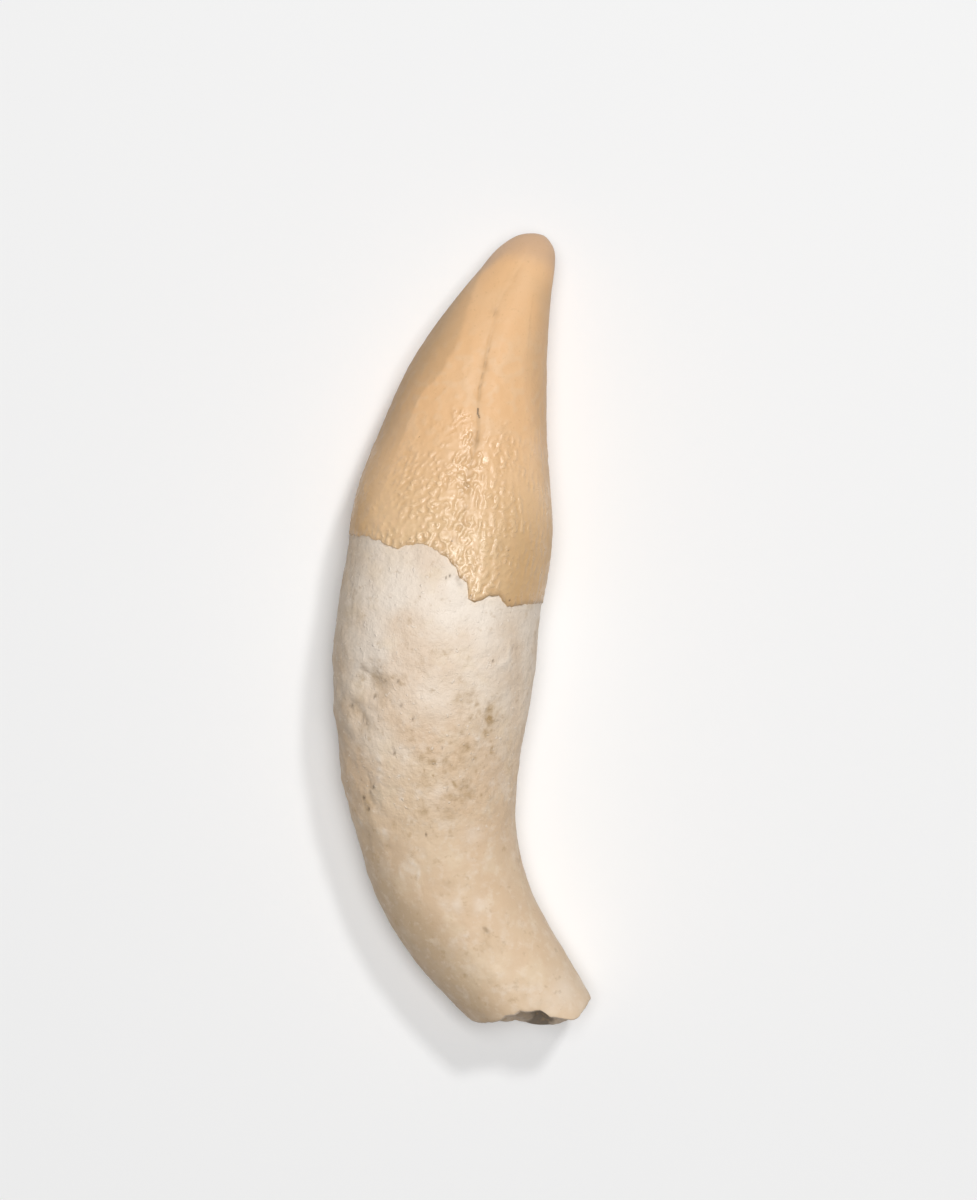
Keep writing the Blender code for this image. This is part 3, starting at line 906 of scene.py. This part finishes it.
class Paint:
    """A Principled material, its colour laid on coat by coat, and short ways to add its nodes."""

    def __init__(self, name, ground):
        self.material = bpy.data.materials.new(name)
        self.material.use_nodes = True
        self.tree = self.material.node_tree
        self.shader = self.tree.nodes["Principled BSDF"]
        self.place = self.node("TexCoord", "Object")
        self.colour = ground

    def set(self, socket, value):
        """Links a node's output to a socket, or gives the socket a number or colour."""
        if isinstance(value, bpy.types.NodeSocket):
            self.tree.links.new(value, socket)
        else:
            socket.default_value = value

    def node(self, kind, output, inputs=None, **options):
        """Adds a node with these inputs and options, and returns one of its outputs."""
        node = self.tree.nodes.new(f"ShaderNode{kind}")
        for name, value in options.items():
            setattr(node, name, value)
        for name, value in (inputs or {}).items():
            self.set(node.inputs[name], value)
        return node.outputs[output]

    def mask(self, name, share=None):
        """The numbers of one of the mesh's masks, times a share where there is one."""
        value = self.node("Attribute", "Fac", attribute_name=name)
        return value if share is None else self.sum("MULTIPLY", value, share)

    def noise(self, size, detail=2.0, roughness=0.5, stretch=(1, 1, 1)):
        """Noise of 0 to 1, with lumps of this size in millimetres, longer where stretched."""
        scale = [1 / (MM * size * one) for one in stretch]
        place = self.node("Mapping", "Vector", {"Vector": self.place, "Scale": scale})
        inputs = {"Vector": place, "Scale": 1.0, "Detail": detail, "Roughness": roughness}
        return self.node("TexNoise", "Fac", inputs)

    def along(self, axis):
        """The place along an axis, in metres: Y runs towards the tip, X to the hollow side."""
        return self.node("SeparateXYZ", axis, {"Vector": self.place})

    def band(self, value, start, end, low=0.0, high=1.0):
        """low up to the start and high from the end on, with a gentle change between them."""
        inputs = dict(enumerate((value, start, end, low, high)))
        return self.node("MapRange", "Result", inputs, interpolation_type="SMOOTHSTEP")

    def patches(self, noise, start, end, share):
        """Patches where a noise of (size, detail, roughness, stretch) rises from start to end."""
        return self.band(self.noise(*noise), start, end, 0.0, share)

    def sum(self, kind, first, second):
        """A sum, product or other result of two numbers."""
        return self.node("Math", "Value", {0: first, 1: second}, operation=kind)

    def coat(self, share, colour):
        """Lays a colour over what is there: none of it at a share of 0, and only it at 1."""
        pair = [
            one if isinstance(one, bpy.types.NodeSocket) else (*one, 1.0)
            for one in (self.colour, colour)
        ]
        self.colour = self.node("Mix", 2, {0: share, 6: pair[0], 7: pair[1]}, data_type="RGBA")

    def bump(self, height, distance, under=None):
        """Normals for a fine relief of this height in millimetres, laid over another's."""
        inputs = {"Height": height, "Distance": distance * MM, "Strength": 1.0}
        if under:
            inputs["Normal"] = under
        return self.node("Bump", "Normal", inputs)

    def finish(self, roughness, normal):
        """Links the colour and these two to the shader, and returns the material."""
        inputs = {"Base Color": self.colour, "Roughness": roughness, "Normal": normal}
        for name, value in inputs.items():
            self.set(self.shader.inputs[name], value)
        return self.material


def enamel_material(colours):
    """Glossy, warm enamel, brown in its creases and edge, with painted light and shade."""
    paint = Paint("fossil_enamel", colours.low_enamel)
    paint.coat(paint.band(paint.along("Y"), 0.002, 0.015), colours.enamel)
    paint.coat(paint.patches((2.4, 3.0), 0.42, 0.68, 0.35), colours.cloud)
    ridges = paint.mask("ridges")
    # Painted light and shade: the wrinkles' ridges are painted lighter and their valleys darker
    paint.coat(paint.band(ridges, 0.55, 1.0, 0.0, 0.65), colours.ridge)
    paint.coat(paint.band(ridges, 0.45, 0.0, 0.0, 0.6), colours.valley)
    for mask, share, colour in (
        ("soft", 0.6, colours.cloud),
        # the left flank's darker tan, deepened with painted shade
        ("flank", 0.75, colours.flank),
        # painted shade down the crown's right side
        ("strip", 0.35, colours.flank),
        ("cap", 0.7, colours.tip),
        # painted shade on the crown's lower sides
        ("low", 0.8, colours.valley),
    ):
        paint.coat(paint.mask(mask, share), colour)
    paint.coat(paint.patches((0.22, 2.0), 0.6, 0.75, 0.25), colours.valley)
    for mask, share, colour in (
        ("crease", 0.55, colours.valley),
        ("crease", 0.25, colours.edge),
        ("lip", 0.65, colours.edge),
        ("stain", 0.6, colours.edge),
    ):
        paint.coat(paint.mask(mask, share), colour)
    paint.coat(paint.band(paint.mask("dirt"), 0.25, 0.8, 0.0, 0.85), colours.dirt)
    wrinkled = paint.mask("wrinkled")
    dull = paint.patches((0.7, 3.0), 0.3, 0.7, 0.12)
    roughness = paint.sum("ADD", paint.band(wrinkled, 0.05, 0.6, 0.5, 0.25), dull)
    on_ridges = paint.band(ridges, 0.5, 0.7, 0.25, 1)
    grain = paint.bump(paint.sum("MULTIPLY", paint.noise(0.24, 3.0, 0.6), on_ridges), 0.05)
    relief = paint.bump(paint.noise(0.6, 2.0, 0.5), 0.04, grain)
    paint.shader.inputs["Specular IOR Level"].default_value = 0.5
    paint.set(paint.shader.inputs["Coat Weight"], paint.band(wrinkled, 0.05, 0.6, 0.01, 0.16))
    paint.shader.inputs["Coat Roughness"].default_value = 0.15
    return paint.finish(roughness, relief)


def root_material(colours):
    """Dry, chalky dentine: white by the neck, beige below, with stains, chips and pores."""
    paint = Paint("fossil_root", colours.root)
    neck = paint.sum("ADD", paint.along("Y"), paint.sum("MULTIPLY", paint.noise(4.0, 3.0), 0.012))
    paint.coat(paint.band(neck, -0.006, 0.007), colours.chalk)
    for noise, start, end, share, colour in (
        ((5.0, 2.0), 0.4, 0.65, 0.6, colours.warm),
        ((2.2, 3.0, 0.6), 0.5, 0.7, 0.5, colours.cream),
        ((1.5, 4.0, 0.6), 0.5, 0.7, 0.28, colours.chalk),
    ):
        paint.coat(paint.patches(noise, start, end, share), colour)
    for mask, share, colour in (
        # pale patches and marks, among them painted highlights
        ("pale", 0.75, colours.chalk),
        ("worn", 0.3, colours.warm),
        # painted shade on the root's sides
        ("aside", 0.62, colours.side_shade),
    ):
        paint.coat(paint.mask(mask, share), colour)
    paint.coat(paint.patches((0.8, 4.0, 0.65), 0.57, 0.72, 0.4), colours.stain)
    paint.coat(paint.patches((0.7, 4.0, 0.65), 0.5, 0.68, 0.22), colours.chalk)
    rough = paint.mask("rough")
    flecks = paint.patches((0.3, 1.0), 0.66, 0.78, paint.band(rough, 0, 1, 0.15, 0.5))
    paint.coat(flecks, colours.chalk)
    specks = paint.patches((0.3, 1.0, 0.5, (1.1, 0.9, 1)), 0.77, 0.84, 0.3)
    paint.coat(specks, colours.stain)
    ragged = paint.band(paint.noise(0.35, 3.0, 0.6), 0.35, 0.6, 0.5, 1.0)
    # the stains, and the painted shade in the root's left dents
    paint.coat(paint.sum("MULTIPLY", paint.mask("stain"), ragged), colours.stain)
    paint.coat(paint.mask("dirt"), colours.dirt)
    roughness = paint.band(paint.noise(0.9, 3.0), 0.3, 0.7, 0.45, 0.7)
    depth = paint.band(rough, 0.0, 1.0, 0.35, 1.0)
    small = paint.sum("ADD", paint.noise(0.28, 3.0, 0.65), flecks)
    small = paint.sum("MULTIPLY", paint.sum("SUBTRACT", small, specks), depth)
    large = paint.sum("MULTIPLY", paint.noise(0.9, 4.0, 0.6), depth)
    relief = paint.bump(large, 0.17, paint.bump(small, 0.048))
    paint.shader.inputs["Specular IOR Level"].default_value = 0.35
    return paint.finish(roughness, relief)


def break_material(colours):
    """Broken dentine, pale grey by the rim and darker towards the canal, partly painted shade."""
    paint = Paint("broken_dentine", colours.broken)
    uneven = paint.band(paint.noise(0.9, 4.0), 0.3, 0.7, -0.1, 0.1)
    inward = paint.sum("ADD", paint.mask("inward"), uneven)
    paint.coat(paint.band(inward, 0.03, 0.3), colours.splinter)
    # darker towards the canal: its darker dentine, deepened with painted shade
    paint.coat(paint.band(inward, 0.35, 0.75), colours.canal)
    # Painted shade: a patch on the right of the broken face, where its hollow is darkest
    wobble = paint.band(paint.noise(1.1, 3.0), 0.3, 0.7, -4e-4, 4e-4)
    across = paint.sum("ADD", paint.along("X"), wobble)
    shade_patch = paint.band(across, 0.004, 0.0048)
    shade_patch = paint.sum("MULTIPLY", shade_patch, paint.band(across, 0.006, 0.0052))
    shade_patch = paint.sum("MULTIPLY", shade_patch, paint.band(paint.along("Z"), 0.0, 0.004, 0.8, 0.6))
    paint.coat(shade_patch, colours.canal)
    paint.coat(paint.patches((0.35, 4.0, 0.6), 0.5, 0.7, 0.5), colours.stain)
    roughness = paint.band(paint.noise(0.5, 3.0), 0.3, 0.7, 0.65, 0.85)
    grain = paint.bump(paint.noise(0.2, 4.0, 0.65), 0.03)
    relief = paint.bump(paint.noise(0.7, 4.0, 0.6), 0.08, grain)
    return paint.finish(roughness, relief)


def floor_material(colour):
    """Plain, smooth and pale."""
    material = bpy.data.materials.new("pale_floor")
    material.use_nodes = True
    shader = material.node_tree.nodes["Principled BSDF"]
    shader.inputs["Base Color"].default_value = (*colour, 1.0)
    shader.inputs["Roughness"].default_value = 0.9
    return material


def length(name, description, default):
    """A property that holds a length in metres."""
    return FloatProperty(
        name=name, description=description, default=default, min=0.0, unit="LENGTH", precision=5
    )


def colour(name, description, default):
    """A property that holds a colour."""
    return FloatVectorProperty(
        name=name, description=description, default=default, subtype="COLOR", min=0.0, max=1.0
    )


class FossilToothSettings(PropertyGroup):
    """Sizes and colours of the tooth's surface."""

    wrinkle_height: length("Wrinkles", "Height of the crown's wrinkles", 0.06 * MM)
    crease_depth: length("Crease", "Depth of the crease down the crown", 0.04 * MM)
    lip_height: length("Enamel Lip", "How far the enamel's edge stands out", 0.075 * MM)
    lump_height: length("Root Lumps", "Height of the root's lumps", 0.1 * MM)
    break_height: length("Break", "Roughness of the broken end", 0.32 * MM)
    enamel: colour("Enamel", "Upper crown", (0.87, 0.53, 0.27))
    low_enamel: colour("Low Enamel", "Crown near its base", (0.82, 0.59, 0.35))
    tip: colour("Tip", "Worn tip of the crown", (0.64, 0.42, 0.27))
    cloud: colour("Clouds", "Paler clouds in the enamel", (0.86, 0.57, 0.33))
    # The painted light on the wrinkles' ridges and the painted shade between them
    ridge: colour("Ridges", "Top of the wrinkles", (0.92, 0.67, 0.41))
    valley: colour("Valleys", "Between the wrinkles", (0.61, 0.375, 0.17))
    # The left flank's darker tan, partly painted shade, and the painted shade down the crown's
    # right
    flank: colour("Flank", "Flat left side of the crown", (0.45, 0.29, 0.15))
    edge: colour("Enamel Edge", "Lip of the enamel", (0.42, 0.265, 0.14))
    # Also the colour of the painted highlights on the root's small bumps and chip lip
    chalk: colour("Chalk", "White of the neck", (0.93, 0.82, 0.705))
    cream: colour("Cream", "Yellowish patches of the root", (0.84, 0.68, 0.49))
    root: colour("Root", "Lower root", (0.77, 0.58, 0.395))
    warm: colour("Warm Root", "Warmer patches of the root", (0.73, 0.52, 0.34))
    # Also the colour of the painted shade in the root's left dents
    stain: colour("Stains", "Brown stains on the root", (0.45, 0.30, 0.15))
    dirt: colour("Dirt", "Dirt in pores and cracks", (0.11, 0.07, 0.04))
    # The colour of the painted shade on the root's sides
    side_shade: colour("Side Shade", "Darker skin on the root's sides", (0.44, 0.312, 0.185))
    broken: colour("Break", "Broken dentine by the rim", (0.60, 0.48, 0.37))
    splinter: colour("Splinters", "Broken dentine inside the rim", (0.44, 0.335, 0.24))
    # Dark dentine of the canal, deepened with painted shade; also the colour of the painted shade
    # patch
    canal: colour("Canal", "Inside of the pulp canal", (0.12, 0.09, 0.06))


class FossilStageSettings(PropertyGroup):
    """The floor and the lights."""

    floor: colour("Floor", "Colour of the floor", (0.93, 0.93, 0.93))
    key_power: FloatProperty(
        name="Key Light", description="Power of the small lamp", default=0.83, unit="POWER"
    )
    fill_power: FloatProperty(
        name="Fill Light", description="Power of the soft lamp overhead", default=2.58, unit="POWER"
    )
    room_light: FloatProperty(
        name="Room Light", description="Brightness of the room", default=0.05, min=0.0
    )


class FOSSIL_OT_add_tooth(Operator):
    """Add the tooth's fine surface on its solid"""

    bl_idname = "fossil.add_tooth"
    bl_label = "Tooth"

    def execute(self, context):
        settings = context.scene.fossil_tooth
        skin = Skin(Solid())
        relief = Relief(skin, settings)
        relief.crown()
        relief.root()
        relief.broken_end()
        mesh = grid_mesh("tooth_surface", relief.moved())
        for name, values in relief.masks.items():
            add_mask(mesh, name, values)
        add_map(mesh, skin.points, skin.rim_row)
        for make in (enamel_material, root_material, break_material):
            mesh.materials.append(make(settings))
        enamel, root, broken = range(len(mesh.materials))
        bands = np.full(len(mesh.polygons), root)
        bands[: (skin.edge_row + 1) * COLUMNS] = enamel
        bands[skin.rim_row * COLUMNS :] = broken
        bands[-2 * COLUMNS : -COLUMNS] = enamel  # the fan of triangles at the tip
        mesh.polygons.foreach_set("material_index", bands)
        tooth = bpy.data.objects.new("tooth_surface", mesh)
        context.collection.objects.link(tooth)
        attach(tooth, "root")
        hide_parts(SOLID)
        return {"FINISHED"}


def add_lamp(name, place, size, power):
    """A square soft lamp that faces the tooth."""
    lamp = bpy.data.lights.new(name, "AREA")
    lamp.size = size
    lamp.energy = power
    holder = bpy.data.objects.new(name, lamp)
    holder.location = place
    way = np.subtract(LAMP_TARGET, place)
    holder.rotation_euler = Vector(way).to_track_quat("-Z", "Y").to_euler()
    bpy.context.collection.objects.link(holder)


class FOSSIL_OT_add_stage(Operator):
    """Add the floor, the lights and the camera"""

    bl_idname = "fossil.add_stage"
    bl_label = "Stage"

    def execute(self, context):
        settings = context.scene.fossil_stage
        mesh = bpy.data.meshes.new("floor")
        half = FLOOR_SIZE / 2
        corners = [(-half, -half, 0), (half, -half, 0), (half, half, 0), (-half, half, 0)]
        mesh.from_pydata(corners, [], [(0, 1, 2, 3)])
        mesh.materials.append(floor_material(tuple(settings.floor)))
        floor = bpy.data.objects.new("floor", mesh)
        context.collection.objects.link(floor)
        add_lamp("key_lamp", *KEY_LAMP, settings.key_power)
        add_lamp("soft_lamp", *SOFT_LAMP, settings.fill_power)
        world = bpy.data.worlds.new("room")
        world.use_nodes = True
        background = world.node_tree.nodes["Background"]
        background.inputs["Color"].default_value = (1, 1, 1, 1)
        background.inputs["Strength"].default_value = settings.room_light
        context.scene.world = world
        context.scene.view_settings.view_transform = "Standard"
        camera = bpy.data.cameras.new("camera")
        camera.lens = CAMERA_LENS
        camera.sensor_width = CAMERA_SENSOR
        camera.clip_start = CAMERA_CLIP
        holder = bpy.data.objects.new("camera", camera)
        holder.location = CAMERA_PLACE
        context.collection.objects.link(holder)
        context.scene.camera = holder
        return {"FINISHED"}


class FOSSIL_PT_panel(Panel):
    """Lists the piece and the stage"""

    bl_idname = "FOSSIL_PT_panel"
    bl_label = "Fossil Tooth"
    bl_space_type = "VIEW_3D"
    bl_region_type = "UI"
    bl_category = "Fossil Tooth"

    def draw(self, context):
        scene = context.scene
        for settings, operator in (
            (scene.fossil_tooth, FOSSIL_OT_add_tooth),
            (scene.fossil_stage, FOSSIL_OT_add_stage),
        ):
            box = self.layout.box()
            for name in settings.__annotations__:
                box.prop(settings, name)
            box.operator(operator.bl_idname)


CLASSES = (
    FossilToothSettings,
    FossilStageSettings,
    FOSSIL_OT_add_tooth,
    FOSSIL_OT_add_stage,
    FOSSIL_PT_panel,
)


def register():
    """Adds the classes and the scene's settings."""
    for one in CLASSES:
        bpy.utils.register_class(one)
    bpy.types.Scene.fossil_tooth = PointerProperty(type=FossilToothSettings)
    bpy.types.Scene.fossil_stage = PointerProperty(type=FossilStageSettings)


def unregister():
    """Takes them away again."""
    del bpy.types.Scene.fossil_stage
    del bpy.types.Scene.fossil_tooth
    for one in reversed(CLASSES):
        bpy.utils.unregister_class(one)


def main():
    """Makes the tooth and its stage."""
    register()
    bpy.ops.fossil.add_tooth()
    bpy.ops.fossil.add_stage()


if __name__ == "__main__":
    main()
